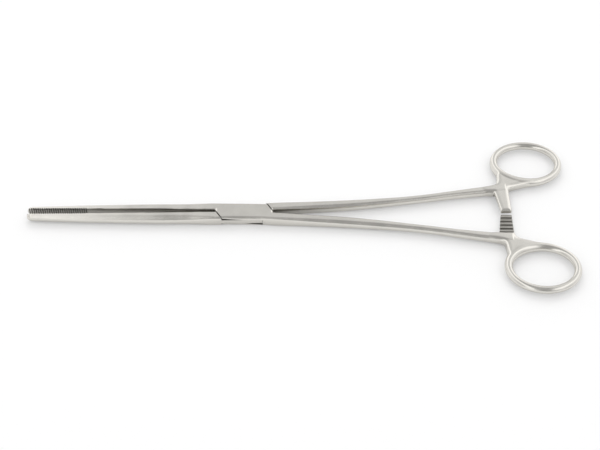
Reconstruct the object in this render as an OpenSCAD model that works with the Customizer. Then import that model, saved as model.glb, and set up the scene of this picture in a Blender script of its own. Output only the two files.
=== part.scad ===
// Uterine dressing forceps: two long ringed arms crossed in a box joint on a flush pivot pin.
// Millimetres, +Z up, the pin's axis at the origin, +X towards the finger rings.

/* [Rest pose] */
// Angle that each arm stands open at rest, away from the closed pose
rest_half_opening = 0.81; // [0:0.05:2]

/* [Box joint] */
// Width of the box across its two flat sides
box_width = 9.5; // [8.5:0.1:10.5]
// Height of the box, which is also the tool's full thickness
box_thickness = 5.6; // [5:0.1:6.5]
// Bevel along the long edges of the box
box_bevel = 0.9; // [0.4:0.05:1.1]
// Distance from the pin to a slanted shoulder, measured on the centre line
shoulder_reach = 13.5; // [12.5:0.05:15]
// Slant of the shoulders from the long axis
shoulder_slant = 56; // [50:1:65]
// Distance from the pin to the end of the slot on the box's side face
slot_reach = 9; // [7.5:0.1:10]
// Height of the slot in the box
slot_height = 2.3; // [1.8:0.05:2.6]
// Play between the passing arm and the slot, above and below
slot_play = 0.05; // [0.03:0.01:0.1]
// Play at the shoulders and at the slot's end walls when the jaws are closed
shoulder_play = 0.15; // [0.05:0.01:0.25]

/* [Pivot pin] */
// Diameter of the riveted pin
pin_diameter = 3.2; // [2.6:0.1:4]
// Play around the pin in the passing arm
pin_play = 0.05; // [0.03:0.01:0.08]

/* [Jaws] */
// Length of a jaw from the pin to its tip
jaw_length = 103.4; // [95:0.1:112]
// Width of a jaw at the box
jaw_root_width = 4.2; // [3.6:0.05:4.5]
// Width of a jaw halfway along
jaw_middle_width = 4.05; // [3.4:0.05:4.5]
// Width of a jaw where the ridges begin
jaw_grip_width = 3.2; // [2.6:0.05:3.6]
// Width of a jaw just behind its rounded tip
jaw_tip_width = 2.15; // [1.8:0.05:2.8]
// Thickness of a jaw halfway along
jaw_middle_thickness = 5.3; // [4.8:0.1:6]
// Thickness of a jaw just behind its rounded tip
jaw_tip_thickness = 4.5; // [3.8:0.1:5]
// Length of the rounded nose of a jaw
nose_length = 2.2; // [1.5:0.1:3]
// Gap between the jaws at their tips when closed
tip_gap = 0.08; // [0.05:0.01:0.2]
// Gap between the jaws at the inner end of the ridges when closed
grip_gap = 0.75; // [0.4:0.05:1]
// Gap between the hollow middles of the jaws when closed
middle_gap = 1.1; // [0.8:0.05:1.4]

/* [Ridges] */
// Length of the ridged part of a jaw
ridge_run = 28.6; // [20:0.5:36]
// Spacing of the ridges across the gripping face
ridge_pitch = 1.04; // [0.8:0.02:1.6]
// Depth of the valleys between the ridges
ridge_depth = 0.38; // [0.2:0.02:0.5]

/* [Shanks] */
// Width of a shank just behind the box
shank_root_width = 4.5; // [4:0.1:4.8]
// Width of a shank where it is stoutest
shank_stout_width = 4.6; // [4:0.1:5.2]
// Width of a shank at its slender waist
shank_waist_width = 3.6; // [3.2:0.1:4.2]
// Width of a shank where it reaches the ring
shank_end_width = 4.2; // [3.6:0.1:5]
// Distance of a shank's end from the closed tool's centre line
shank_spread = 13.6; // [12.5:0.1:14.5]
// Thickness of a shank where it is stoutest
shank_stout_thickness = 4.7; // [4:0.1:5.4]
// Thickness of a shank at its slender waist
shank_waist_thickness = 3.8; // [3.2:0.1:4.4]

/* [Finger rings] */
// Distance from the catch bar to the middle of a ring along the tool
ring_setback = 14.2; // [13:0.1:15.5]
// Distance of a ring's middle from the closed tool's centre line
ring_offset = 30.65; // [27:0.05:34]
// Half length of a ring, measured to the middle of its bar
ring_half_length = 15.84; // [14:0.1:18]
// Half width of a ring, measured to the middle of its bar
ring_half_width = 12.46; // [11:0.1:14]
// Thickness of the round bar of a ring
ring_bar = 3.6; // [3:0.05:4]
// Thickness of the ring's bar where it grows out of the web
ring_root_bar = 4.7; // [3.6:0.1:5.2]
// Thickness of the flat web between shank, ring and catch
web_thickness = 4.3; // [3.8:0.1:4.6]

/* [Catch] */
// Width of a catch bar at its end
catch_width = 5; // [4:0.1:6]
// Width of a catch bar at its root
catch_root_width = 6.4; // [5:0.1:7]
// Shift of a catch bar's end towards the rings
catch_lean = 0.5; // [0:0.1:1]
// Distance from the pin to the middle of a catch bar
catch_distance = 124.5; // [115:0.1:132]
// Reach of the upper catch bar past the centre line when closed
upper_catch_reach = 1.3; // [0.5:0.05:2.5]
// Reach of the lower catch bar past the centre line when closed
lower_catch_reach = 0.5; // [0:0.05:1.5]
// Spacing of the catch teeth
tooth_pitch = 2.2; // [1.8:0.05:2.6]
// Height of the catch teeth
tooth_height = 0.75; // [0.5:0.05:0.9]
// Teeth on each catch bar
tooth_count = 4; // [2:1:4]
// Play between the passing rows of teeth
catch_play = 0.2; // [0.1:0.05:0.4]

/* [Smoothness] */
// Points around a forged section
section_points = 20; // [12:4:28]
// Length of one step along a forged shape
station_step = 4.4; // [3:0.2:8]
// Sections round a finger ring
ring_stations = 52; // [32:4:64]
// Points around the bar of a finger ring
ring_points = 14; // [10:2:18]

/* [Hidden] */
$fn = 72;
half_box = box_width / 2;
half_thickness = box_thickness / 2;
crotch = middle_gap / 2;
slant_run = 1 / tan(shoulder_slant);
steel = [0.74, 0.73, 0.71];
pin_steel = [0.78, 0.77, 0.75];
reach_past = half_box * 1.25;
root_start = shoulder_reach * 0.58;
serration_end = jaw_length - ridge_run;
ring_distance = catch_distance + ring_setback;
web_reach = ring_offset - shank_spread;
web_bevel = web_thickness / 6;
catch_depth = web_thickness / 2;
catch_bevel = catch_depth / 5;
catch_root = shank_spread * 0.85;
ring_root_angle = 235;
ring_root_spread = 48;

// Jaw stations: distance from the pin, gap to the centre line, width, thickness, share of the
// width taken by the inner edge, squareness of the inner side and of the back
jaw_form = [
  [root_start, crotch, half_box - crotch - 0.02, box_thickness - 0.04, 0.3, 9, 9],
  [shoulder_reach * 1.02, crotch, jaw_root_width, box_thickness - 0.04, 0.28, 8, 6.5],
  [jaw_length * 0.23, crotch, jaw_root_width, box_thickness - 0.1, 0.26, 7, 3.6],
  [jaw_length * 0.42, crotch, jaw_middle_width, jaw_middle_thickness, 0.24, 6, 2.5],
  [serration_end, grip_gap / 2, jaw_grip_width, jaw_tip_thickness + 0.35, 0.22, 6, 2.3],
  [jaw_length - ridge_run / 2, (grip_gap + tip_gap) / 4, (jaw_grip_width + jaw_tip_width) / 2,
    jaw_tip_thickness + 0.1, 0.22, 6, 2.2],
  [jaw_length, tip_gap / 2, jaw_tip_width - 0.2, jaw_tip_thickness, 0.22, 5, 2.2]
];

// Shank stations: distance from the pin, middle from the centre line, width, thickness, squareness
shank_form = [
  [root_start, (half_box + crotch) / 2, half_box - crotch - 0.02, box_thickness - 0.04, 9],
  [shoulder_reach * 1.1, shank_spread * 0.217, shank_root_width, box_thickness - 0.12, 7],
  [catch_distance * 0.242, shank_spread * 0.265, shank_root_width + 0.1, box_thickness - 0.4, 4],
  [catch_distance * 0.395, shank_spread * 0.342, shank_stout_width, shank_stout_thickness, 3.2],
  [catch_distance * 0.517, shank_spread * 0.436, shank_stout_width - 0.45,
    shank_stout_thickness - 0.4, 3],
  [catch_distance * 0.613, shank_spread * 0.526, shank_waist_width + 0.1,
    shank_waist_thickness + 0.1, 2.8],
  [catch_distance * 0.71, shank_spread * 0.64, shank_waist_width, shank_waist_thickness, 2.8],
  [catch_distance * 0.807, shank_spread * 0.776, shank_waist_width + 0.2,
    shank_waist_thickness + 0.1, 3],
  [catch_distance * 0.896, shank_spread * 0.89, shank_end_width, shank_waist_thickness + 0.2, 3.2],
  [catch_distance * 0.993, shank_spread, shank_end_width + 0.6, shank_waist_thickness + 0.2, 3.4]
];

// Index of the table row just before a distance
function row_before(form, s, i = 0) =
  i >= len(form) - 2 || s <= form[i + 1][0] ? i : row_before(form, s, i + 1);

// Slope of one column at a table row
function row_slope(form, i, c) = let (
    a = max(i - 1, 0),
    b = min(i + 1, len(form) - 1)
  ) (form[b][c] - form[a][c]) / (form[b][0] - form[a][0]);

// Smooth value of one column between the table rows
function smooth(form, s, c) = let (
    i = row_before(form, s),
    h = form[i + 1][0] - form[i][0],
    u = (s - form[i][0]) / h,
    m0 = row_slope(form, i, c) * h,
    m1 = row_slope(form, i + 1, c) * h
  ) (2 * u^3 - 3 * u^2 + 1) * form[i][c] + (u^3 - 2 * u^2 + u) * m0
    + (3 * u^2 - 2 * u^3) * form[i + 1][c] + (u^3 - u^2) * m1;

// One rounded section: inner edge, width, thickness, inner share and squareness of both sides
function section(x, inner, width, thick, share, n_in, n_out) = [
  for (k = [0 : section_points - 1]) let (
    a = 360 * (k + 0.5) / section_points,
    n = cos(a) > 0 ? n_out : n_in,
    side = cos(a) > 0 ? width * (1 - share) : width * share
  ) [
    x,
    inner + width * share + side * sign(cos(a)) * pow(abs(cos(a)), 2 / n),
    thick / 2 * sign(sin(a)) * pow(abs(sin(a)), 2 / n)
  ]
];

// Fullness of the rounded nose, from 0 at the tip to 1 behind it
function nose(s) = s < jaw_length - nose_length ? 1
  : sqrt(max(0.08, 1 - pow((s - jaw_length + nose_length) / nose_length, 2)));

// Solid skin over a row of sections
module loft(sections) {
  n = section_points;
  last = len(sections) - 1;
  polyhedron(
    points = [for (s = sections) each s],
    faces = concat(
      [[for (k = [0 : n - 1]) k]],
      [for (i = [0 : last - 1], k = [0 : n - 1]) each [
        [i * n + k, (i + 1) * n + k, (i + 1) * n + (k + 1) % n],
        [i * n + k, (i + 1) * n + (k + 1) % n, i * n + (k + 1) % n]
      ]],
      [[for (k = [n - 1 : -1 : 0]) last * n + k]]
    )
  );
}

// Half-round jaw on the +Y side, pointing to -X, with its flat face towards the centre line
module jaw() {
  nose_steps = [1, 0.94, 0.82, 0.62, 0.34, 0];
  body_end = jaw_length - nose_length;
  steps = ceil((body_end - root_start) / station_step);
  stations = concat(
    [for (u = nose_steps) body_end + u * nose_length],
    [for (i = [steps - 1 : -1 : 0]) root_start + (body_end - root_start) * i / steps]
  );
  loft([for (s = stations) section(
    -s,
    smooth(jaw_form, s, 1),
    smooth(jaw_form, s, 2) * nose(s),
    smooth(jaw_form, s, 3) * (0.35 + 0.65 * nose(s)),
    smooth(jaw_form, s, 4),
    smooth(jaw_form, s, 5),
    smooth(jaw_form, s, 6)
  )]);
}

// Tapered and slightly bowed shank on the +Y side, running to +X
module shank() {
  first = shank_form[0][0];
  end = shank_form[len(shank_form) - 1][0];
  steps = ceil((end - first) / station_step);
  loft([for (i = [0 : steps]) let (
    s = first + (end - first) * i / steps,
    w = smooth(shank_form, s, 2),
    n = smooth(shank_form, s, 4)
  ) section(s, smooth(shank_form, s, 1) - w / 2, w, smooth(shank_form, s, 3), 0.5, n, n)]);
}

// Closed skin over a ring of sections that follow each other round an opening
module closed_loft(sections) {
  n = len(sections[0]);
  count = len(sections);
  polyhedron(
    points = [for (s = sections) each s],
    faces = [for (i = [0 : count - 1], k = [0 : n - 1]) let (
      j = (i + 1) % count,
      l = (k + 1) % n
    ) each [
      [i * n + k, i * n + l, j * n + l],
      [i * n + k, j * n + l, j * n + k]
    ]]
  );
}

// Oval finger ring of round bar around its own middle, stouter where it leaves the web
module finger_ring() {
  closed_loft([for (i = [0 : ring_stations - 1]) let (
    a = 360 * i / ring_stations,
    away = abs(a - ring_root_angle) > 180 ? 360 - abs(a - ring_root_angle) : abs(a - ring_root_angle),
    half = ring_bar / 2 + (ring_root_bar - ring_bar) / 2 * exp(-pow(away / ring_root_spread, 2)),
    middle = [ring_half_length * cos(a), ring_half_width * sin(a)],
    normal = [ring_half_width * cos(a), ring_half_length * sin(a)],
    across = normal / norm(normal)
  ) [for (k = [0 : ring_points - 1]) let (b = 360 * (k + 0.5) / ring_points) [
    middle[0] + across[0] * half * cos(b),
    middle[1] + across[1] * half * cos(b),
    half * sin(b)
  ]]]);
}

// Flat plate with bevelled rims, shrunk a little towards its middle at both faces
module bevelled_plate(outline, middle, low, high, bevel, shrink) {
  translate([middle[0], middle[1], low + bevel])
    linear_extrude(height = high - low - 2 * bevel)
      translate(-middle) polygon(outline);
  translate([middle[0], middle[1], high - bevel])
    linear_extrude(height = bevel, scale = shrink)
      translate(-middle) polygon(outline);
  translate([middle[0], middle[1], low + bevel])
    mirror([0, 0, 1])
      linear_extrude(height = bevel, scale = shrink)
        translate(-middle) polygon(outline);
}

// Place on the web: from one side of the catch bar, in shares of the way to the ring's middle
function web_point(bar_side, along, across) =
  [bar_side + along * ring_setback, shank_spread + across * web_reach];

// Web that joins the shank's end, the ring and the catch bar, on the +Y side
module web() {
  bar_left = catch_distance - catch_root_width / 2;
  bar_right = catch_distance + catch_root_width / 2;
  outline = [
    web_point(bar_left, -0.31, -0.176),
    web_point(bar_left, -0.127, -0.182),
    web_point(bar_left, -0.06, -0.16),
    web_point(bar_right, -0.02, -0.16),
    web_point(bar_right, 0, -0.09),
    web_point(bar_right, 0.05, -0.02),
    web_point(bar_right, 0.2, 0.045),
    web_point(bar_right, 0.42, 0.1),
    web_point(bar_right, 0.6, 0.15),
    web_point(bar_right, 0.6, 0.28),
    web_point(bar_right, 0.07, 0.411),
    web_point(bar_left, 0.31, 0.528),
    web_point(bar_left, 0.127, 0.54),
    web_point(bar_left, 0.12, 0.41),
    web_point(bar_left, 0.1, 0.24),
    web_point(bar_left, 0.045, 0.15),
    web_point(bar_left, -0.1, 0.1),
    web_point(bar_left, -0.31, 0.082)
  ];
  bevelled_plate(outline, web_point(catch_distance, 0, 0.08), -web_thickness / 2,
    web_thickness / 2, web_bevel, 0.9);
}

// Catch bar with a row of teeth on the face at the middle plane, on the +Y side
module catch_bar(reach) {
  outline = [
    [catch_distance + catch_lean - catch_width / 2, -reach],
    [catch_distance + catch_lean + catch_width / 2, -reach],
    [catch_distance + catch_root_width / 2, catch_root],
    [catch_distance - catch_root_width / 2, catch_root * 0.83]
  ];
  difference() {
    bevelled_plate(outline, [catch_distance, catch_root / 2], catch_play / 2, catch_depth,
      catch_bevel, 0.93);
    for (i = [0 : tooth_count - 1]) {
      translate([catch_distance, -reach + 0.6 + i * tooth_pitch, catch_play / 2])
        rotate([90, 0, 90])
          linear_extrude(height = 2 * catch_root_width, center = true)
            polygon([
              [0, -0.5],
              [0, tooth_height],
              [tooth_pitch - 0.2, 0],
              [tooth_pitch - 0.2, -0.5]
            ]);
    }
  }
}

// Everything that both arms share, as the female arm has it: jaw at +Y, shank and ring at -Y
module arm_blank() {
  jaw();
  rotate([180, 0, 0]) {
    shank();
    web();
    translate([ring_distance, ring_offset, 0]) finger_ring();
  }
}

// Plan of the band between the slanted shoulders, grown by a play at both shoulders
module shoulder_band(play, half_height) {
  away = shoulder_reach + play / sin(shoulder_slant);
  lean = half_height * slant_run;
  polygon([
    [-away - lean, half_height],
    [-away + lean, -half_height],
    [away + lean, -half_height],
    [away - lean, half_height]
  ]);
}

// Plan of the passage through the box, shrunk by a play at its two end walls
module passage(play, side) {
  lean = slant_run * crotch;
  corner = shoulder_reach + lean;
  polygon([
    [-corner + play, crotch],
    [-corner + play, -side],
    [slot_reach - play, -side],
    [slot_reach - play, -half_box],
    [corner - play, -crotch],
    [corner - play, side],
    [-slot_reach + play, side],
    [-slot_reach + play, half_box]
  ]);
}

// Long bar with the bevelled outline of the box, seen from the end
module box_profile() {
  rotate([90, 0, 90])
    linear_extrude(height = 4 * shoulder_reach, center = true)
      polygon([
        [-half_box, -half_thickness + box_bevel],
        [-half_box + box_bevel, -half_thickness],
        [half_box - box_bevel, -half_thickness],
        [half_box, -half_thickness + box_bevel],
        [half_box, half_thickness - box_bevel],
        [half_box - box_bevel, half_thickness],
        [-half_box + box_bevel, half_thickness],
        [-half_box, half_thickness - box_bevel]
      ]);
}

// Body of the box between its shoulders, with the roots of jaw and shank
module box_body() {
  lean = half_box * slant_run;
  corner = shoulder_reach + slant_run * crotch;
  intersection() {
    box_profile();
    linear_extrude(height = 2 * box_thickness, center = true)
      polygon([
        [-corner, crotch],
        [-shoulder_reach + lean, -half_box],
        [corner, -half_box],
        [corner, -crotch],
        [shoulder_reach - lean, half_box],
        [-corner, half_box]
      ]);
  }
}

// Rows of valleys cut across the gripping face of the jaw at +Y
module ridge_valleys() {
  count = floor(ridge_run / ridge_pitch);
  start = jaw_length - 0.5;
  rise = (grip_gap - tip_gap) / 2 / ridge_run;
  face = tip_gap / 2;
  linear_extrude(height = 2 * box_thickness, center = true)
    polygon(concat(
      [[-start, face - 1]],
      [for (i = [0 : count - 1]) let (s = i * ridge_pitch) each [
        [-start + s, face + rise * s - 0.01],
        [-start + s + ridge_pitch / 2, face + rise * s + ridge_depth]
      ]],
      [[-start + count * ridge_pitch, face + rise * count * ridge_pitch - 0.01]],
      [[-start + count * ridge_pitch, face - 1]]
    ));
}

// Female arm: the box with its slot, one jaw, one shank and the lower catch bar
module female_arm() {
  color(steel)
    translate([0, 0, half_thickness])
      rotate([0, 0, -rest_half_opening])
        difference() {
          union() {
            arm_blank();
            box_body();
            rotate([180, 0, 0]) catch_bar(lower_catch_reach);
          }
          linear_extrude(height = slot_height, center = true) passage(0, reach_past);
          cylinder(d = pin_diameter, h = 2 * box_thickness, center = true);
          ridge_valleys();
        }
}

// Male arm: the flat waist that passes through the box, with its own jaw, shank and catch bar
module male_arm() {
  waist = slot_height - 2 * slot_play;
  color(steel)
    translate([0, 0, half_thickness])
      rotate([0, 0, rest_half_opening])
        difference() {
          union() {
            rotate([180, 0, 0]) arm_blank();
            linear_extrude(height = waist, center = true) passage(shoulder_play, half_box);
            catch_bar(upper_catch_reach);
          }
          for (side = [-1, 1])
            translate([0, 0, side * (waist / 2 + box_thickness)])
              linear_extrude(height = 2 * box_thickness, center = true)
                shoulder_band(shoulder_play, reach_past);
          cylinder(d = pin_diameter + 2 * pin_play, h = 2 * box_thickness, center = true);
          rotate([180, 0, 0]) ridge_valleys();
        }
}

// Pivot pin, riveted into the box and ground flush with both faces
module pivot_pin() {
  color(pin_steel)
    cylinder(d = pin_diameter, h = box_thickness);
}

female_arm();
male_arm();
pivot_pin();
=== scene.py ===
# %% [markdown]
# # Uterine dressing forceps in satin steel
# The tool is two long arms that cross in a box joint: one arm has a slotted box, the other is
# thinned to a flat waist that passes through the slot, and a pin, ground flush, holds both.
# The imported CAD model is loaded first. It is the frame that every piece of the scene keeps to.

# %% Load the frame
import math
import bpy
import bmesh
import numpy as np
from mathutils import Matrix, Vector


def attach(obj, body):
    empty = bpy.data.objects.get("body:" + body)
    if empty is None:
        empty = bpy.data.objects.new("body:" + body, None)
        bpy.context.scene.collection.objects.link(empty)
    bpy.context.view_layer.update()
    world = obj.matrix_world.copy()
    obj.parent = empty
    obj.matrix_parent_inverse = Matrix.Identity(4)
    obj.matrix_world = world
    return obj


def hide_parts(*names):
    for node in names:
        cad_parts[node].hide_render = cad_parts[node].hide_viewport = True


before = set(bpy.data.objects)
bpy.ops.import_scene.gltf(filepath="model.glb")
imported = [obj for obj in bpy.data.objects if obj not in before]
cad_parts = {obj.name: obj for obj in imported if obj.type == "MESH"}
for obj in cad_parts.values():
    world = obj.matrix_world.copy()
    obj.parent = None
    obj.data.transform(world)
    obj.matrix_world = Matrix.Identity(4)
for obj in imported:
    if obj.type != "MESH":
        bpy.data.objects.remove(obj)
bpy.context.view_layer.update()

# %% [markdown]
# ## Camera
# The photograph looks down on the tool from 50 degrees above the table, from a little over half a
# metre.

# %% Camera
MM = 0.001
CAMERA_PLACE = (26.62 * MM, -354.12 * MM, 416.70 * MM)
CAMERA_TILT = math.radians(40)
LENS_MM = 68.54
SENSOR_MM = 36

camera_data = bpy.data.cameras.new("camera")
camera_data.lens = LENS_MM
camera_data.sensor_width = SENSOR_MM
camera_data.clip_start = 0.01
camera = bpy.data.objects.new("camera", camera_data)
camera.location = CAMERA_PLACE
camera.rotation_euler = (CAMERA_TILT, 0, 0)
bpy.context.scene.collection.objects.link(camera)
bpy.context.scene.camera = camera
print("camera at", CAMERA_PLACE, "with a lens of", LENS_MM, "mm")

# %% [markdown]
# ## Sizes
# All forms are worked out in millimetres around the pin, with the tool closed and its middle plane
# at height zero. They are the sizes of the CAD arms, so that the steel skins lie where the CAD
# solids are. Only fine details differ a little, where the photograph asks for it, such as the
# play at the shoulders. A table row gives the form at one distance from the pin, and
# `smooth_rows` runs a soft curve through the rows, as a file does when it fairs a forging.

# %% Sizes of the box and the arms
THICKNESS = 5.6
HALF_BOX = 9.5 / 2
BOX_EDGE = 1.15
CROTCH = 0.55
SHOULDER_REACH = 13.5
SHOULDER_SLANT = math.radians(56)
SLANT_RUN = 1 / math.tan(SHOULDER_SLANT)
SLOT_REACH = 9.0
SLOT_HEIGHT = 2.3
SLOT_PLAY = 0.05
SHOULDER_PLAY = 0.3
PIN_RADIUS = 1.6
PIN_PLAY = 0.05
REST_HALF_OPENING = math.radians(0.81)
ROOT_START = 6.0
JAW_LENGTH = 103.4
NOSE_LENGTH = 2.4
SHANK_END = 126


def smooth_rows(rows, step=0.25):
    """Distances and columns of a table, with a smooth curve run through its rows."""
    rows = np.array(rows, float)
    place = rows[:, 0]
    fine = np.arange(place[0], place[-1] + step / 2, step)
    slope = np.zeros_like(rows)
    slope[1:-1] = (rows[2:] - rows[:-2]) / (place[2:] - place[:-2])[:, None]
    slope[0] = (rows[1] - rows[0]) / (place[1] - place[0])
    slope[-1] = (rows[-1] - rows[-2]) / (place[-1] - place[-2])
    i = np.clip(np.searchsorted(place, fine, side="right") - 1, 0, len(rows) - 2)
    h = (place[i + 1] - place[i])[:, None]
    u = ((fine - place[i]) / h[:, 0])[:, None]
    curve = (
        (2 * u**3 - 3 * u**2 + 1) * rows[i]
        + (u**3 - 2 * u**2 + u) * h * slope[i]
        + (3 * u**2 - 2 * u**3) * rows[i + 1]
        + (u**3 - u**2) * h * slope[i + 1]
    )
    return fine, curve


def read_rows(table, distance):
    """The columns of a smoothed table at many distances."""
    fine, curve = table
    return [np.interp(distance, fine, curve[:, c]) for c in range(1, curve.shape[1])]


# distance, gap to the centre line, width, thickness, inner share, squareness inside and outside
jaw_rows = smooth_rows([
    (ROOT_START, CROTCH, 4.1, 5.5, 0.30, 8, 5.6),
    (14, CROTCH, 4.22, 5.6, 0.28, 9, 5.6),
    (19, CROTCH, 4.22, 5.59, 0.26, 9, 4.2),
    (26, CROTCH, 4.2, 5.5, 0.24, 9, 2.8),
    (44, CROTCH, 4.05, 5.3, 0.20, 10, 2.4),
    (75, 0.375, 3.2, 4.85, 0.16, 13, 2.2),
    (89, 0.2075, 2.68, 4.6, 0.16, 13, 2.1),
    (JAW_LENGTH, 0.04, 1.95, 4.5, 0.16, 9, 2.1),
])
# distance, middle from the centre line, width, thickness, squareness
shank_rows = smooth_rows([
    (ROOT_START, 2.6, 4.1, 5.5, 5),
    (15, 2.92, 4.5, 5.6, 4.8),
    (30, 3.6, 4.6, 5.2, 3.4),
    (49.2, 4.65, 4.6, 4.7, 2.8),
    (64.4, 5.93, 4.15, 4.3, 2.6),
    (76.3, 7.16, 3.7, 3.95, 2.5),
    (88.4, 8.7, 3.6, 3.85, 2.5),
    (100.5, 10.55, 3.8, 3.95, 2.6),
    (111.6, 12.1, 4.2, 4.1, 2.9),
    (SHANK_END, 13.9, 4.8, 4.2, 3.2),
])
print("jaw table:", len(jaw_rows[0]), "steps, shank table:", len(shank_rows[0]), "steps")

# %% [markdown]
# ## Forms as fields
# A forged arm has no edges where its parts grow together: the shank flows into the ring, the web
# and the catch bar. Joining separate meshes would leave hard creases there. So each form is a
# field instead, a function that is negative inside the steel and positive outside, in about
# millimetres. Fields can be blended with a soft minimum, which is what fills the corners with the
# fillets that a forging die leaves.

# %% Fields of the jaw and the shank
def soft_union(a, b, radius):
    """Joins two fields, with a fillet of about this radius in the corner."""
    h = np.clip(0.5 + 0.5 * (b - a) / radius, 0, 1)
    return b * (1 - h) + a * h - radius * h * (1 - h)


def power_sum(a, b, n):
    """Squared-off round section: n of 2 is an ellipse, and a larger n is nearer a rectangle."""
    return (np.abs(a) ** n + np.abs(b) ** n + 1e-12) ** (1 / n)


def jaw_field(p):
    """Half-round jaw on the +Y side, pointing to -X, with its flat face inwards."""
    distance = -p[:, 0]
    gap, width, thick, share, n_in, n_out = read_rows(jaw_rows, distance)
    split = gap + width * share
    outside = p[:, 1] > split
    side = np.where(outside, width * (1 - share), width * share)
    u = (p[:, 1] - split) / side
    q = power_sum(u, p[:, 2] / (thick / 2), np.where(outside, n_out, n_in))
    nose = np.clip((distance - JAW_LENGTH + NOSE_LENGTH) / NOSE_LENGTH, 0, 3)
    fullness = 2 + 4 * np.clip(-u, 0, 1)  # the nose is squarer near the gripping face
    q = power_sum(q, nose, fullness)
    return np.maximum((q - 1) * np.minimum(width, thick) / 2, ROOT_START - distance)


def shank_field(p):
    """Tapered shank on the +Y side, running to +X."""
    middle, width, thick, square = read_rows(shank_rows, p[:, 0])
    q = power_sum((p[:, 1] - middle) / (width / 2), p[:, 2] / (thick / 2), square)
    field = (q - 1) * np.minimum(width, thick) / 2
    return np.maximum(field, np.maximum(ROOT_START - p[:, 0], p[:, 0] - SHANK_END))


probe = np.array([[-50, 2.5, 0], [-50, 9, 0], [50, 4.7, 0]], float)
print("field inside and outside a jaw:", jaw_field(probe)[:2])
print("field inside a shank:", shank_field(probe)[2])

# %% [markdown]
# ## Finger ring
# The finger ring is a bar bent round an oval. It is stouter where it leaves the web, and its bar
# is a little taller than wide. A torus could be stretched to an oval, but its bar would stretch
# with it, so the field measures the distance from the oval and keeps the bar's own section.

# %% Field of the ring
RING_MIDDLE = (138.7, 30.65)
RING_HALF = (15.84, 12.46)
RING_BAR = 3.6
RING_ROOT_BAR = 4.7
RING_ROOT_ANGLE = 235
RING_ROOT_SPREAD = 48
BAR_WIDTH_SHARE = 0.985
BAR_HEIGHT_SHARE = 1.01
BAR_SQUARENESS = 2.15


def ring_place(p):
    """Angle round the ring and distance outwards from the middle line of its bar."""
    x, y = p[:, 0] - RING_MIDDLE[0], p[:, 1] - RING_MIDDLE[1]
    a, b = RING_HALF
    q = np.sqrt((x / a) ** 2 + (y / b) ** 2) + 1e-9
    slope = np.sqrt((x / a**2) ** 2 + (y / b**2) ** 2) + 1e-9
    return np.arctan2(y / b, x / a), q * (q - 1) / slope


def ring_field(p):
    """Oval finger ring on the +Y side."""
    angle, out = ring_place(p)
    away = (np.degrees(angle) - RING_ROOT_ANGLE + 180) % 360 - 180
    stouter = (RING_ROOT_BAR - RING_BAR) * np.exp(-((away / RING_ROOT_SPREAD) ** 2))
    half = (RING_BAR + stouter) / 2
    section = power_sum(out / (half * BAR_WIDTH_SHARE), p[:, 2] / (half * BAR_HEIGHT_SHARE),
                        BAR_SQUARENESS)
    return (section - 1) * half


print("ring bar from", RING_BAR, "mm to", RING_ROOT_BAR, "mm at its root")

# %% [markdown]
# ## Plates
# The web, the catch bar and the box are flat forgings. Their fields start from a drawn outline:
# the distance to a polygon, and a rim of a set radius where it meets the flat faces. The web and
# the catch bar also have a gently sloping margin, which the light catches in the photograph.

# %% Field of a flat plate
MARGIN_TILT = math.radians(22)
MARGIN_SOFTNESS = 0.5
EXACT_WITHIN = 3


def outline_distance(p, outline):
    """Distance in plan to a polygon, negative inside it."""
    points = np.array(outline, float)
    xy = p[:, :2]
    nearest = np.full(len(p), 1e9)
    inside = np.zeros(len(p), bool)
    for a, b in zip(points, np.roll(points, -1, axis=0)):
        edge, to = b - a, xy - a
        along = np.clip((to @ edge) / (edge @ edge), 0, 1)
        nearest = np.minimum(nearest, np.sum((to - along[:, None] * edge) ** 2, axis=1))
        crosses = (a[1] > xy[:, 1]) != (b[1] > xy[:, 1])
        if abs(edge[1]) > 1e-12:
            inside ^= crosses & (xy[:, 0] < a[0] + (xy[:, 1] - a[1]) / edge[1] * edge[0])
    return np.where(inside, -1, 1) * np.sqrt(nearest)


def plate_field(p, outline, low, high, rim, margin=0):
    """Flat plate with a drawn outline and a rounded rim; its margin, if any, slopes gently."""
    points = np.array(outline, float)
    middle = (points.max(0) + points.min(0)) / 2
    room = (points.max(0) - points.min(0)) / 2
    edge = np.max(np.abs(p[:, :2] - middle) - room, axis=1)
    close = edge < EXACT_WITHIN
    edge[close] = outline_distance(p[close], points)
    side = edge + rim
    face = np.abs(p[:, 2] - (low + high) / 2) - (high - low) / 2 + rim
    corner = np.hypot(np.maximum(side, 0), np.maximum(face, 0))
    field = np.minimum(np.maximum(side, face), 0) + corner - rim
    if margin:
        above = np.abs(p[:, 2]) - high
        sloped = (edge + margin) * math.sin(MARGIN_TILT) + above * math.cos(MARGIN_TILT)
        field = -soft_union(-field, -sloped, MARGIN_SOFTNESS)
    return field


def soften(outline, rounds=3):
    """Rounds the corners of a drawn outline by cutting them again and again."""
    points = np.array(outline, float)
    for _ in range(rounds):
        ahead = np.roll(points, -1, axis=0)
        points = np.stack([0.75 * points + 0.25 * ahead, 0.25 * points + 0.75 * ahead], 1)
        points = points.reshape(-1, 2)
    return points


small_square = [(-1, -1), (1, -1), (1, 1), (-1, 1)]
print("distance from a square of 2 mm, 1 mm beside it:",
      outline_distance(np.array([[2.0, 0, 0]]), small_square))
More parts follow.
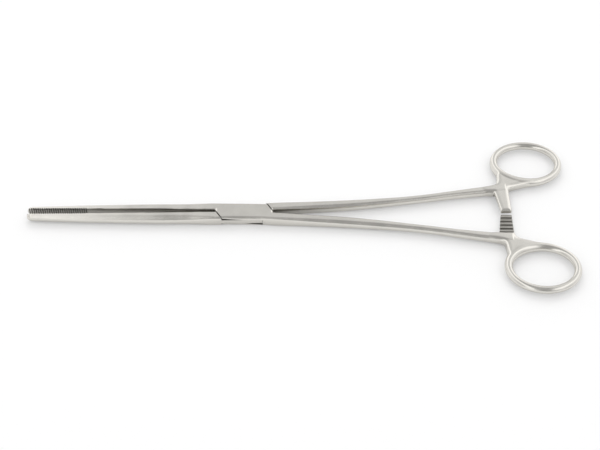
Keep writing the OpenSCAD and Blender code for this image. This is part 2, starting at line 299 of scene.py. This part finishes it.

# %% [markdown]
# ## Web, catch bar, box and waist
# The web joins the shank, the ring and the catch bar, and its soft outline is drawn. The
# box and the waist end in short stubs that lie hidden in the jaw and the shank, so that no seam
# shows where the flat middle of an arm goes over into its round parts.

# %% Outlines of the plates
WEB_THICKNESS = 4.3
WEB_RIM = 0.9
WEB_MARGIN = 1.25
CATCH_LEFT = 121.3
CATCH_RIGHT = 127.7
CATCH_REACH = 1.3
CATCH_FAR_FACE = -0.6
CATCH_RIM = 0.4
CATCH_MARGIN = 0.85
JAW_STUB_END = 15.5
SHANK_STUB_END = 16.5
CORNER = SHOULDER_REACH + SLANT_RUN * CROTCH
WEB_OUTLINE = soften([
    (115.0, 12.2), (118.0, 10.9), (120.2, 10.6), (120.4, 10.6), (127.5, 10.6), (127.6, 10.6),
    (127.8, 12.4), (128.9, 13.7), (131.0, 14.5), (134.0, 15.3), (137.0, 16.2), (142.0, 18.0),
    (136.5, 19.3), (128.6, 20.8), (125.7, 22.8), (124.2, 27.0), (123.3, 23.0), (122.9, 20.4),
    (122.7, 17.6), (121.8, 16.0), (119.6, 15.3), (115.0, 14.0),
])


def catch_outline():
    """Plan of a catch bar, which reaches past the centre line when the tool is closed."""
    return [
        (CATCH_LEFT + 1.0, -CATCH_REACH), (CATCH_RIGHT - 0.2, -CATCH_REACH),
        (CATCH_RIGHT - 0.1, 14.2), (CATCH_LEFT - 1.2, 13.4),
    ]


def box_outline():
    """Plan of the box and the roots of its own arm, before the slanted shoulders are cut."""
    return [
        (-JAW_STUB_END, 1.7), (-CORNER, CROTCH), (-CORNER, -HALF_BOX), (CORNER, -HALF_BOX),
        (SHANK_STUB_END, -4.0), (SHANK_STUB_END, -1.8), (CORNER, -CROTCH), (CORNER, HALF_BOX),
        (-CORNER, HALF_BOX), (-JAW_STUB_END, 3.4),
    ]


def waist_outline():
    """Plan of the pass-through arm's middle, with stubs that grow into its jaw and its shank."""
    end, inner = CORNER - SHOULDER_PLAY, SLOT_REACH - SLOT_PLAY
    return [
        (-end, CROTCH), (-end, -CROTCH), (-JAW_STUB_END, -1.7), (-JAW_STUB_END, -3.4),
        (-end, -HALF_BOX), (inner, -HALF_BOX), (end, -CROTCH), (end, CROTCH),
        (SHANK_STUB_END, 1.8), (SHANK_STUB_END, 4.0), (end, HALF_BOX), (-inner, HALF_BOX),
    ]


print("web outline:", len(WEB_OUTLINE), "points; box corner", round(CORNER, 2), "mm from the pin")

# %% [markdown]
# ## A whole arm
# Both arms share the same blank, turned over for the second one: a jaw on one side, a shank with
# its ring on the other. The female arm adds the box, and the male arm the waist at full thickness,
# which is cut down later. The catch bars lie in opposite halves of the thickness.

# %% Field of a whole arm
WEB_FILLET = 0.6
RING_FILLET = 0.5
CATCH_FILLET = 0.3


def turned_over(p):
    """The same points with the blank turned over about its long axis."""
    return p * np.array([1, -1, -1])


def arm_field(p, female):
    """One arm, closed, in its own place: female has its jaw at +Y and its shank at -Y."""
    if not female:
        p = turned_over(p)
    over = turned_over(p)
    web = plate_field(over, WEB_OUTLINE, -WEB_THICKNESS / 2, WEB_THICKNESS / 2,
                      WEB_RIM, WEB_MARGIN)
    catch = plate_field(over, catch_outline(), CATCH_FAR_FACE, WEB_THICKNESS / 2,
                        CATCH_RIM, CATCH_MARGIN)
    handle = soft_union(shank_field(over), web, WEB_FILLET)
    handle = soft_union(handle, ring_field(over), RING_FILLET)
    handle = soft_union(handle, catch, CATCH_FILLET)
    if female:
        middle = plate_field(p, box_outline(), -THICKNESS / 2, THICKNESS / 2, BOX_EDGE)
    else:
        middle = plate_field(over, waist_outline(), -THICKNESS / 2, THICKNESS / 2, BOX_EDGE)
    return np.minimum(np.minimum(jaw_field(p), handle), middle)


print("field at the pin of the female arm:", arm_field(np.array([[0.0, 3, 2]]), True))

# %% [markdown]
# ## From field to skin
# The skin is where the field is zero. It is found on a fine grid: every cell whose corners lie on
# both sides of the surface gets one point, and every grid edge that passes through the surface
# gets one four-sided face between the four cells around it.

# %% Skin of a field
GRID_STEP = 0.32


def in_slabs(field, points, slab=400000):
    """The field at many points, a slab at a time to save memory."""
    return np.concatenate([field(points[i:i + slab]) for i in range(0, len(points), slab)])


def skin_of(field, low, high, step):
    """Points and four-sided faces of the surface where the field is zero."""
    axes = [np.arange(a, b + step, step) for a, b in zip(low, high)]
    shape = [len(a) for a in axes]
    grid = np.stack(np.meshgrid(*axes, indexing="ij"), -1).reshape(-1, 3)
    value = in_slabs(field, grid).reshape(shape)
    inside = value < 0
    count = [n - 1 for n in shape]
    mixed = np.zeros(count, int)
    for dx in (0, 1):
        for dy in (0, 1):
            for dz in (0, 1):
                mixed += inside[dx:dx + count[0], dy:dy + count[1], dz:dz + count[2]]
    cell = (mixed > 0) & (mixed < 8)
    number = -np.ones(count, int)
    number[cell] = np.arange(cell.sum())
    at = np.argwhere(cell)
    points = np.array(low) + (at + 0.5) * step
    faces = []
    for axis in range(3):
        one, two = (axis + 1) % 3, (axis + 2) % 3
        ahead = np.take(inside, range(1, shape[axis]), axis)
        here = np.take(inside, range(0, shape[axis] - 1), axis)
        edge = np.argwhere(ahead != here)
        edge = edge[(edge[:, one] > 0) & (edge[:, two] > 0)
                    & (edge[:, one] < shape[one] - 1) & (edge[:, two] < shape[two] - 1)]
        ring = []
        for a, b in ((0, 0), (1, 0), (1, 1), (0, 1)):
            q = edge.copy()
            q[:, one] -= a
            q[:, two] -= b
            ring.append(number[q[:, 0], q[:, 1], q[:, 2]])
        quad = np.stack(ring, 1)
        out = here[edge[:, 0], edge[:, 1], edge[:, 2]]
        quad[~out] = quad[~out][:, ::-1]
        faces.append(quad)
    return points, np.concatenate(faces)


def ball(p):
    """A ball of 2 mm, to try the skin on."""
    return np.linalg.norm(p, axis=1) - 1


print("faces on a ball of 2 mm:", len(skin_of(ball, [-1.5] * 3, [1.5] * 3, GRID_STEP)[1]))

# %% [markdown]
# The grid leaves facets like steps. So the points are pushed along the field's slope until they
# lie on the surface, and in between they are evened out over it, so that the steps disappear.

# %% Skins of the two arms
SKIN_LEFT, SKIN_RIGHT = -106, 157
SKIN_JAW_SIDE, SKIN_RING_SIDE = 7, 46
SKIN_HALF_HEIGHT = 3.6


def settle(field, points, rounds=5, nudge=0.02, most=0.3):
    """Pushes the points along the field's slope until they lie on the surface."""
    for _ in range(rounds):
        value = in_slabs(field, points)
        slope = np.zeros_like(points)
        for axis in range(3):
            shift = np.zeros(3)
            shift[axis] = nudge
            ahead = in_slabs(field, points + shift)
            slope[:, axis] = (ahead - in_slabs(field, points - shift)) / (2 * nudge)
        size = np.sum(slope**2, axis=1)
        move = -(value / np.maximum(size, 0.05))[:, None] * slope
        far = np.linalg.norm(move, axis=1)
        points = points + move * np.minimum(1, most / np.maximum(far, 1e-9))[:, None]
    return points


def even_out(points, faces):
    """Moves each point halfway to the middle of its neighbours, to even the faces out."""
    total = np.zeros_like(points)
    count = np.zeros(len(points))
    for k in range(4):
        for other in ((k + 1) % 4, (k + 3) % 4):
            np.add.at(total, faces[:, k], points[faces[:, other]])
            np.add.at(count, faces[:, k], 1)
    return points * 0.5 + 0.5 * total / np.maximum(count, 1)[:, None]


def arm_skin(female):
    """Smooth skin of a whole arm, in millimetres."""
    def field(p):
        return arm_field(p, female)

    side = -1 if female else 1
    low = [SKIN_LEFT, min(-SKIN_JAW_SIDE, side * SKIN_RING_SIDE), -SKIN_HALF_HEIGHT]
    high = [SKIN_RIGHT, max(SKIN_JAW_SIDE, side * SKIN_RING_SIDE), SKIN_HALF_HEIGHT]
    points, faces = skin_of(field, low, high, GRID_STEP)
    for _ in range(3):
        points = settle(field, points, rounds=2)
        points = even_out(points, faces)
    return settle(field, points), faces


def mesh_object(name, points, faces):
    """A mesh object from points and faces."""
    mesh = bpy.data.meshes.new(name)
    mesh.from_pydata([tuple(p) for p in points], [], [tuple(int(i) for i in f) for f in faces])
    mesh.validate()
    mesh.update()
    made = bpy.data.objects.new(name, mesh)
    bpy.context.scene.collection.objects.link(made)
    return made


arms = {}
for arm_name, is_female in (("female_arm_steel", True), ("male_arm_steel", False)):
    skin_points, skin_faces = arm_skin(is_female)
    arms[arm_name] = mesh_object(arm_name, skin_points, skin_faces)
    print(arm_name, "skin:", len(skin_points), "points,", len(skin_faces), "faces")

# %% [markdown]
# ## Cuts
# Slots, shoulders and teeth are machined after forging, so they are cut into the skin with crisp
# edges here too. Each cutter is a solid made of outlines stacked in height. Where a file would
# break the edge of a shoulder, the cutter flares out a little, which leaves a fine chamfer.

# %% Solid from stacked outlines
CUT_PAST = 6.0
EDGE_BREAK = 0.14
FLARE = 0.9


def stack(name, outlines, heights, axis="z"):
    """Closed solid through outlines with equal numbers of points, at these heights."""
    count = len(outlines[0])
    points = [(x, y, z) for outline, z in zip(outlines, heights) for x, y in outline]
    if axis == "x":
        points = [(z, x, y) for x, y, z in points]
    if axis == "y":
        points = [(x, -z, y) for x, y, z in points]
    faces = [tuple(reversed(range(count)))]
    for level in range(len(outlines) - 1):
        low, high = level * count, (level + 1) * count
        for i in range(count):
            j = (i + 1) % count
            faces.append((low + i, low + j, high + j, high + i))
    faces.append(tuple(range(high, high + count)))
    made = mesh_object(name, points, faces)
    shape = bmesh.new()
    shape.from_mesh(made.data)
    bmesh.ops.recalc_face_normals(shape, faces=shape.faces)
    shape.to_mesh(made.data)
    shape.free()
    return made


print("cutters reach", CUT_PAST, "mm out and break the shoulders' edges by", EDGE_BREAK, "mm")

# %% [markdown]
# ## Cutters of the box joint
# The box gets its through slot and slanted shoulders, and the other arm is thinned to a waist
# that fills the slot. Years of use wear the ends of the slot, so thin wedge-shaped gaps open
# there along the side faces. They are the dark lines on the box in the photograph.

# %% Cutters of the box joint
END_CUT_REACH = 19
SEAM_DEPTH = 0.9
SEAM_WIDTH = 1.05
SEAM_END = 0.5
SEAM_OVERLAP = 0.02


def passage_outline():
    """Plan of the passage through the box, open at both sides."""
    return [
        (-CORNER, CROTCH), (-CORNER, -CUT_PAST), (SLOT_REACH, -CUT_PAST), (SLOT_REACH, -HALF_BOX),
        (CORNER, -CROTCH), (CORNER, CUT_PAST), (-SLOT_REACH, CUT_PAST), (-SLOT_REACH, HALF_BOX),
    ]


def shoulder_line(y, away):
    """Where the slanted shoulder on the jaw side stands at this y."""
    return -away - SLANT_RUN * y


def end_cut(side):
    """Takes off what lies beyond a slanted shoulder of the box: side is -1 or 1 along X."""
    def outline(flare):
        away = SHOULDER_REACH - flare / math.sin(SHOULDER_SLANT)
        top = CROTCH - 0.02
        corners = [(shoulder_line(top, away), top), (shoulder_line(-CUT_PAST, away), -CUT_PAST),
                   (-END_CUT_REACH, -CUT_PAST), (-END_CUT_REACH, top)]
        return [(side * -x, side * -y) for x, y in corners]

    flat = THICKNESS / 2 - EDGE_BREAK
    flared = outline(FLARE + EDGE_BREAK)
    return stack("end_cut", [flared, outline(0), outline(0), flared],
                 [-flat - FLARE - EDGE_BREAK, -flat, flat, flat + FLARE + EDGE_BREAK])


def band_cut(side):
    """Thins the male arm to its waist between the shoulders: side is -1 or 1 along Z."""
    def outline(flare):
        away = SHOULDER_REACH + (SHOULDER_PLAY + flare) / math.sin(SHOULDER_SLANT)
        near, far = shoulder_line(CUT_PAST, away), shoulder_line(-CUT_PAST, away)
        return [(near, CUT_PAST), (far, -CUT_PAST), (-near, -CUT_PAST), (-far, CUT_PAST)]

    waist = SLOT_HEIGHT / 2 - SLOT_PLAY
    flat = THICKNESS / 2 - EDGE_BREAK
    return stack("band_cut", [outline(0), outline(0), outline(FLARE + EDGE_BREAK)],
                 [side * waist, side * flat, side * (flat + FLARE + EDGE_BREAK)])


def round_cut(radius):
    """Bore for the pin."""
    ring = [(radius * math.cos(a), radius * math.sin(a))
            for a in np.linspace(0, 2 * math.pi, 96, endpoint=False)]
    return stack("round_cut", [ring, ring], [-4, 4])


def seam_cut(turn):
    """Worn gaps where the waist leaves the box: one above it, one below it, on one side."""
    wall, deep = HALF_BOX + 0.5, HALF_BOX - SEAM_DEPTH
    half = SLOT_HEIGHT / 2 - SEAM_OVERLAP
    made = []
    for start, end, side in ((-SHOULDER_REACH, -SEAM_END, 1), (SLOT_REACH, SEAM_END, -1)):
        outline = [(start * turn, half * side), (end * turn, half * side),
                   (end * turn, (half + SEAM_OVERLAP) * side),
                   (start * turn, (half + SEAM_WIDTH) * side)]
        made.append(stack("seam_cut", [outline, outline], [deep * turn, wall * turn], axis="y"))
    return made


print("the slot is", SLOT_HEIGHT, "mm high, with", SLOT_PLAY, "mm of play on each side")

# %% [markdown]
# ## Ridges and catch teeth
# A milling cutter crosses the jaw at even steps. Between two cuts it leaves a narrow flat land,
# and each cut is a valley with sloping walls. The catch teeth are sawteeth: they let the handles
# close, and their steep sides hold against opening.

# %% Cutters of the ridges and the catch teeth
RIDGE_PITCH = 1.04
RIDGE_RUN = 28.6
RIDGE_DEPTH = 0.42
RIDGES_FROM_TIP = 0.5
TIP_GAP = 0.08
GRIP_GAP = 0.75
VALLEY = ((0.22, -0.01), (0.5, RIDGE_DEPTH), (0.62, RIDGE_DEPTH), (0.9, -0.01))
TOOTH_COUNT = 5
TOOTH_PITCH = 2.2
TOOTH_HEIGHT = 0.62
TOOTH_LAND = 0.12
FIRST_TOOTH = 0.6
FEMALE_TEETH_REACH = 0.5
CATCH_PLAY = 0.2
TEETH_END = 11.1


def ridge_cut(over):
    """Row of valleys across the gripping face of a jaw; over is -1 for the turned-over arm."""
    count = int(RIDGE_RUN / RIDGE_PITCH)
    start = JAW_LENGTH - RIDGES_FROM_TIP
    rise = (GRIP_GAP - TIP_GAP) / 2 / RIDGE_RUN
    outline = [(-start, -1.0)]
    for i in range(count):
        s = i * RIDGE_PITCH
        face = TIP_GAP / 2 + rise * s
        outline += [(-start + s + RIDGE_PITCH * share, face + rise * RIDGE_PITCH * share + depth)
                    for share, depth in VALLEY]
    s = count * RIDGE_PITCH
    outline += [(-start + s, -1.0)]
    outline = [(x, y * over) for x, y in outline]
    return stack("ridge_cut", [outline, outline], [-4, 4])


def teeth_cut(reach, over):
    """Sawteeth in the catch bar, on the face at the middle plane."""
    outline = [(-reach - 1, -CUT_PAST), (-reach - 1, CATCH_PLAY / 2)]
    for i in range(TOOTH_COUNT):
        y = -reach + FIRST_TOOTH + i * TOOTH_PITCH
        outline += [(y, CATCH_PLAY / 2), (y + 0.001, TOOTH_HEIGHT + CATCH_PLAY / 2),
                    (y + TOOTH_PITCH - TOOTH_LAND, CATCH_PLAY / 2)]
    outline += [(TEETH_END, CATCH_PLAY / 2), (TEETH_END, -CUT_PAST)]
    outline = [(y * over, z * over) for y, z in outline]
    return stack("teeth_cut", [outline, outline], [CATCH_LEFT - 1.0, CATCH_RIGHT + 0.2], axis="x")


print("ridges on each jaw:", int(RIDGE_RUN / RIDGE_PITCH))

# %% [markdown]
# ## Cutting
# A Boolean modifier takes each cutter out of its arm. Two marker materials tell afterwards which
# faces a cutter left, and these are kept as an attribute, so that the steel can be duller there
# and carry painted shade in its colour.

# %% Cut the arms
forged = bpy.data.materials.new("forged")
milled = bpy.data.materials.new("milled")


def cut(target, cutters):
    """Takes the cutters out of the target, one by one; the faces they leave count as milled."""
    target.data.materials.append(forged)
    target.data.materials.append(milled)
    for cutter in cutters:
        cutter.data.materials.append(milled)
        knife = target.modifiers.new("cut", "BOOLEAN")
        knife.operation = "DIFFERENCE"
        knife.solver = "MANIFOLD"
        knife.object = cutter
        bpy.context.view_layer.objects.active = target
        bpy.ops.object.modifier_apply(modifier=knife.name)
        bpy.data.objects.remove(cutter)
    mark = target.data.attributes.new("milled", "FLOAT", "FACE")
    values = [float(face.material_index == 1) for face in target.data.polygons]
    mark.data.foreach_set("value", values)
    return int(sum(values))


slot_cut = stack("slot_cut", [passage_outline()] * 2, [-SLOT_HEIGHT / 2, SLOT_HEIGHT / 2])
print("milled faces of the female arm:", cut(arms["female_arm_steel"], [
    slot_cut, end_cut(-1), end_cut(1), *seam_cut(1), *seam_cut(-1), round_cut(PIN_RADIUS),
    ridge_cut(1), teeth_cut(FEMALE_TEETH_REACH, -1)]))
print("milled faces of the male arm:", cut(arms["male_arm_steel"], [
    band_cut(-1), band_cut(1), round_cut(PIN_RADIUS + PIN_PLAY), ridge_cut(-1),
    teeth_cut(CATCH_REACH, 1)]))

# %% [markdown]
# ## Into the frame
# Each arm is turned by 0.81 degrees from closed, lifted onto the table and scaled to metres. Then
# it takes the place of its CAD node and rides with that node's body.

# %% Place the arms
FORGED_CREASE = 50
MILLED_CREASE = 12


def place(arm, turn):
    """Turns an arm from closed to rest, lifts it to the table and gives it crisp cut edges."""
    arm.data.transform(Matrix.Scale(MM, 4) @ Matrix.Translation((0, 0, THICKNESS / 2))
                       @ Matrix.Rotation(turn, 4, "Z"))
    arm.data.shade_smooth()
    shape = bmesh.new()
    shape.from_mesh(arm.data)
    mark = shape.faces.layers.float["milled"]
    for edge in shape.edges:
        marks = [face[mark] for face in edge.link_faces]
        limit = math.radians(FORGED_CREASE if sum(marks) == 0 else MILLED_CREASE)
        edge.smooth = len(marks) == 2 and marks[0] == marks[1] and edge.calc_face_angle(0) < limit
    for face in shape.faces:
        face.material_index = 0
    shape.to_mesh(arm.data)
    shape.free()
    return len(arm.data.polygons)


print("faces of the female arm:", place(arms["female_arm_steel"], -REST_HALF_OPENING))
print("faces of the male arm:", place(arms["male_arm_steel"], REST_HALF_OPENING))
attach(arms["female_arm_steel"], "female_side")
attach(arms["male_arm_steel"], "male_side")
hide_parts("female_arm")
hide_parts("male_arm")

# %% [markdown]
# ## Satin steel
# The tool is stainless steel with a satin finish. Metal has almost no colour of its own: what one
# sees is the room, blurred by fine scratches. So the work lies in the roughness: fine scratches
# run along the arms, and broad patches of it differ a little. Milled faces are duller, and their
# darker colour is painted shade in the teeth, valleys and gaps. Steel close to other steel or to
# the table gets painted shade too: ambient occlusion darkens its colour there.

# %% Steel material
# Reach and depth of the painted shade near other steel and the table
PAINTED_SHADE_DISTANCE = 6 * MM
PAINTED_SHADE_TONE = 0.6
# Colour of cut faces, darkened as painted shade
MILLED_SHADE_TONE = 0.69
MILLED_ROUGHNESS = 0.24
SCRATCH_DEPTH = 0.04 * MM
GRIT_DEPTH = 0.02 * MM


def steel_material(name, colour, rough, scratch):
    """Satin stainless steel with fine scratches along the arms, duller where it was milled, with
    painted shade in its colour on milled faces and near other steel or the table.
    """
    made = bpy.data.materials.new(name)
    made.use_nodes = True
    nodes, links = made.node_tree.nodes, made.node_tree.links
    shader = nodes["Principled BSDF"]
    shader.inputs["Metallic"].default_value = 1
    coords = nodes.new("ShaderNodeTexCoord")

    def noise(scale, stretch, detail):
        mapping = nodes.new("ShaderNodeMapping")
        mapping.inputs["Scale"].default_value = stretch
        links.new(coords.outputs["Object"], mapping.inputs["Vector"])
        made_noise = nodes.new("ShaderNodeTexNoise")
        made_noise.inputs["Scale"].default_value = scale
        made_noise.inputs["Detail"].default_value = detail
        links.new(mapping.outputs["Vector"], made_noise.inputs["Vector"])
        return made_noise.outputs["Fac"]

    def spread(source, start, end, low, high):
        step = nodes.new("ShaderNodeMapRange")
        for label, value in (("From Min", start), ("From Max", end),
                             ("To Min", low), ("To Max", high)):
            step.inputs[label].default_value = value
        links.new(source, step.inputs["Value"])
        return step.outputs["Result"]

    def combine(kind, first, second):
        step = nodes.new("ShaderNodeMath")
        step.operation = kind
        links.new(first, step.inputs[0])
        links.new(second, step.inputs[1])
        return step.outputs[0]

    patches = noise(120, (1, 1, 1), 3)
    scratches = noise(900, (0.06, 1, 1), 4)
    grit = noise(2600, (1, 1, 1), 2)
    milled_mark = nodes.new("ShaderNodeAttribute")
    milled_mark.attribute_name = "milled"
    # Painted shade: ambient occlusion darkens the colour where steel is near other steel or the
    # table
    occlusion_probe = nodes.new("ShaderNodeAmbientOcclusion")
    occlusion_probe.samples = 8
    occlusion_probe.inputs["Distance"].default_value = PAINTED_SHADE_DISTANCE
    occlusion_shade = spread(occlusion_probe.outputs["AO"], 0.1, 0.85, PAINTED_SHADE_TONE, 1.0)
    # Painted shade: the cut faces, which lie in the teeth, ridge valleys and gaps, are coloured
    # darker
    milled_painted_shade = spread(milled_mark.outputs["Fac"], 0, 1, 1.0, MILLED_SHADE_TONE)
    painted_shade_and_tone = combine("MULTIPLY", occlusion_shade, milled_painted_shade)
    painted_shade_and_tone = combine("MULTIPLY", painted_shade_and_tone, spread(patches, 0.3, 0.7, 0.96, 1.03))
    tint = nodes.new("ShaderNodeMix")
    tint.data_type = "RGBA"
    tint.inputs["A"].default_value = (0, 0, 0, 1)
    tint.inputs["B"].default_value = (*colour, 1)
    links.new(painted_shade_and_tone, tint.inputs["Factor"])
    links.new(tint.outputs["Result"], shader.inputs["Base Color"])
    dull = spread(milled_mark.outputs["Fac"], 0, 1, 0, MILLED_ROUGHNESS)
    links.new(combine("ADD", spread(patches, 0.3, 0.7, rough - 0.05, rough + 0.07), dull),
              shader.inputs["Roughness"])
    bump = nodes.new("ShaderNodeBump")
    bump.inputs["Strength"].default_value = scratch
    bump.inputs["Distance"].default_value = SCRATCH_DEPTH
    links.new(scratches, bump.inputs["Height"])
    fine = nodes.new("ShaderNodeBump")
    fine.inputs["Strength"].default_value = scratch
    fine.inputs["Distance"].default_value = GRIT_DEPTH
    links.new(grit, fine.inputs["Height"])
    links.new(bump.outputs["Normal"], fine.inputs["Normal"])
    links.new(fine.outputs["Normal"], shader.inputs["Normal"])
    return made


STEEL_COLOUR = (0.72, 0.70, 0.655)
SATIN_ROUGHNESS = 0.19
SCRATCH_STRENGTH = 0.4
satin_steel = steel_material("satin_steel", STEEL_COLOUR, SATIN_ROUGHNESS, SCRATCH_STRENGTH)
pin_steel = steel_material("pin_steel", STEEL_COLOUR, SATIN_ROUGHNESS, SCRATCH_STRENGTH)
for arm in arms.values():
    arm.data.materials.clear()
    arm.data.materials.append(satin_steel)
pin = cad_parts["pivot_pin"]
pin.data.materials.clear()
pin.data.materials.append(pin_steel)
print("materials:", [m.name for m in bpy.data.materials])

# %% [markdown]
# ## Floor
# The tool lies on white paper. More light would turn the paper white, but it would bleach the
# steel too. So the floor is a pale diffuse surface that takes the tool's shadow, and for the
# camera, and for rays that leave a shiny or a clear piece, a quarter of it is plain white.

# %% Floor
FLOOR_HALF = 3
FLOOR_COLOUR = (0.96, 0.96, 0.96, 1)
PAPER_SHARE = 0.25
floor_corners = [(-FLOOR_HALF, -FLOOR_HALF, 0), (FLOOR_HALF, -FLOOR_HALF, 0),
                 (FLOOR_HALF, FLOOR_HALF, 0), (-FLOOR_HALF, FLOOR_HALF, 0)]
floor = mesh_object("floor", floor_corners, [(0, 1, 2, 3)])
floor_paint = bpy.data.materials.new("floor_paint")
floor_paint.use_nodes = True
floor_shader = floor_paint.node_tree.nodes["Principled BSDF"]
floor_shader.inputs["Base Color"].default_value = FLOOR_COLOUR
floor_shader.inputs["Roughness"].default_value = 0.9
floor_shader.inputs["Specular IOR Level"].default_value = 0.1
floor_nodes, floor_links = floor_paint.node_tree.nodes, floor_paint.node_tree.links
white_paper = floor_nodes.new("ShaderNodeEmission")
white_paper.inputs["Strength"].default_value = 1
ray = floor_nodes.new("ShaderNodeLightPath")
sees_paper = ray.outputs["Is Camera Ray"]
for kind in ("Is Glossy Ray", "Is Transmission Ray"):
    either = floor_nodes.new("ShaderNodeMath")
    floor_links.new(sees_paper, either.inputs[0])
    floor_links.new(ray.outputs[kind], either.inputs[1])
    sees_paper = either.outputs["Value"]
paper_share = floor_nodes.new("ShaderNodeMapRange")
paper_share.inputs["To Max"].default_value = PAPER_SHARE
floor_links.new(sees_paper, paper_share.inputs["Value"])
floor_mix = floor_nodes.new("ShaderNodeMixShader")
floor_links.new(paper_share.outputs["Result"], floor_mix.inputs["Fac"])
floor_links.new(floor_shader.outputs["BSDF"], floor_mix.inputs[1])
floor_links.new(white_paper.outputs["Emission"], floor_mix.inputs[2])
floor_links.new(floor_mix.outputs["Shader"], floor_nodes["Material Output"].inputs["Surface"])
floor.data.materials.append(floor_paint)
print("the floor is", 2 * FLOOR_HALF, "m wide")

# %% [markdown]
# ## Room
# Polished metal is a picture of the room around it, so a bare grey world would make it look like
# plaster. This room has a dimmer ceiling strip over the tool, where the rings and shanks pick up
# their darker stretches, bright soft panels on both sides of it, and calm corners beyond. Each
# step from one to the next is smooth, and all of it is set by direction only.

# %% Room
STRIP_MIDDLE = 0.06
NEAR_CEILING = 0.42
LEFT_CEILING = 0.72
RIGHT_CEILING = 0.88
PANEL = 1.35
DIM_PANEL = 0.7
NEAR_CORNERS = 0.65
FAR_CORNERS = 1.0

world = bpy.data.worlds.new("room")
bpy.context.scene.world = world
world.use_nodes = True
nodes, links = world.node_tree.nodes, world.node_tree.links
room = nodes["Background"]
direction = nodes.new("ShaderNodeTexCoord").outputs["Generated"]


def room_value(source, start, end, low, high):
    """Soft step in the brightness of the room, from low to high."""
    step = nodes.new("ShaderNodeMapRange")
    step.interpolation_type = "SMOOTHSTEP"
    for label, value in (("From Min", start), ("From Max", end), ("To Min", low), ("To Max", high)):
        step.inputs[label].default_value = value
    links.new(source, step.inputs["Value"])
    return step.outputs["Result"]


def room_mix(share, first, second):
    """Goes over from one part of the room to the next as the share rises to 1."""
    step = nodes.new("ShaderNodeMix")
    for label, source in (("Factor", share), ("A", first), ("B", second)):
        if isinstance(source, float):
            step.inputs[label].default_value = source
        else:
            links.new(source, step.inputs[label])
    return step.outputs["Result"]


split = nodes.new("ShaderNodeSeparateXYZ")
links.new(direction, split.inputs["Vector"])
across, ahead = split.outputs["X"], split.outputs["Y"]
size_of_x = nodes.new("ShaderNodeMath")
size_of_x.operation = "ABSOLUTE"
off_centre = nodes.new("ShaderNodeMath")
off_centre.operation = "SUBTRACT"
off_centre.inputs[1].default_value = STRIP_MIDDLE
links.new(across, off_centre.inputs[0])
links.new(off_centre.outputs[0], size_of_x.inputs[0])
sideways = size_of_x.outputs[0]
left_ceiling = room_value(ahead, 0.3, 0.6, NEAR_CEILING, LEFT_CEILING)
right_ceiling = room_value(ahead, 0.3, 0.6, NEAR_CEILING, RIGHT_CEILING)
ceiling = room_mix(room_value(across, 0.0, 0.16, 0, 1), left_ceiling, right_ceiling)
near_panels = room_value(across, -0.24, -0.14, PANEL, DIM_PANEL)
panels = room_mix(room_value(ahead, -0.85, -0.5, 0, 1), near_panels, PANEL)
corners = room_value(ahead, -0.9, 0.2, NEAR_CORNERS, FAR_CORNERS)
beside = room_mix(room_value(sideways, 0.21, 0.3, 0, 1), ceiling, panels)
whole_room = room_mix(room_value(sideways, 0.5, 0.7, 0, 1), beside, corners)
links.new(whole_room, room.inputs["Strength"])
room.inputs["Color"].default_value = (1, 1, 1, 1)
print("the room's brightness runs from", NEAR_CEILING, "to", PANEL)

# %% [markdown]
# ## Lamp
# One large lamp stands above and behind the tool, so its shadow falls softly towards the camera. A
# lamp's own mirror image would be a hard white square on the steel, so reflections don't show it.

# %% Lamp
LAMP_PLACE = (0.0, 1.2, 1.2)
LAMP_SIZE = 0.9
LAMP_POWER = 5.0

lamp_data = bpy.data.lights.new("back_light", "AREA")
lamp_data.shape = "SQUARE"
lamp_data.size = LAMP_SIZE
lamp_data.energy = LAMP_POWER
lamp = bpy.data.objects.new("back_light", lamp_data)
lamp.location = LAMP_PLACE
lamp.rotation_euler = Vector(LAMP_PLACE).to_track_quat("Z", "Y").to_euler()
lamp.visible_glossy = False
bpy.context.scene.collection.objects.link(lamp)
bpy.context.scene.view_settings.view_transform = "Standard"
print("a lamp of", LAMP_SIZE, "m at", LAMP_PLACE)
